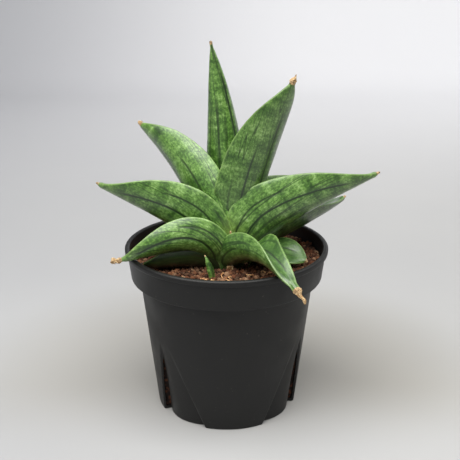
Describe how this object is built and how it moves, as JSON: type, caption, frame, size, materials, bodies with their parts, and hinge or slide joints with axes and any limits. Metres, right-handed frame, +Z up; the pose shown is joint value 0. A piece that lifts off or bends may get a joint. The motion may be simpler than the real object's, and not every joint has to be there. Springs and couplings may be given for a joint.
{
  "type": "potted snake plant",
  "caption": "Young snake plant with thick, folded, mottled green leaves in a rosette, growing in clay granules in a tapered black nursery pot with a deep collar and side drain slots.",
  "frame": {"origin": "centre of the pot's flat underside, on the surface it stands on", "axes": "+Z up along the pot's axis; -Y towards the viewer's side, where the leaf that lies over the lip points; +X to the right from there"},
  "size_m": [0.1892, 0.1472, 0.2532],
  "materials": {
    "pot_plastic": "satin",
    "clay_granules": "matte",
    "rhizome_skin": "matte",
    "leaf_green": "satin",
    "dry_sheath": "matte",
    "sprout_green": "satin"
  },
  "bodies": {
    "root": {"pot": "pot_plastic", "substrate": "clay_granules", "rhizome": "rhizome_skin", "leaf_centre": "leaf_green", "leaf_upper_right": "leaf_green", "leaf_upper_left": "leaf_green", "leaf_right": "leaf_green", "leaf_left": "leaf_green", "leaf_lower_right": "leaf_green", "leaf_front_left": "leaf_green", "leaf_front": "leaf_green", "leaf_low_left": "leaf_green", "leaf_low_right": "leaf_green", "dry_sheath": "dry_sheath", "sprout": "sprout_green"}
  },
  "joints": []
}
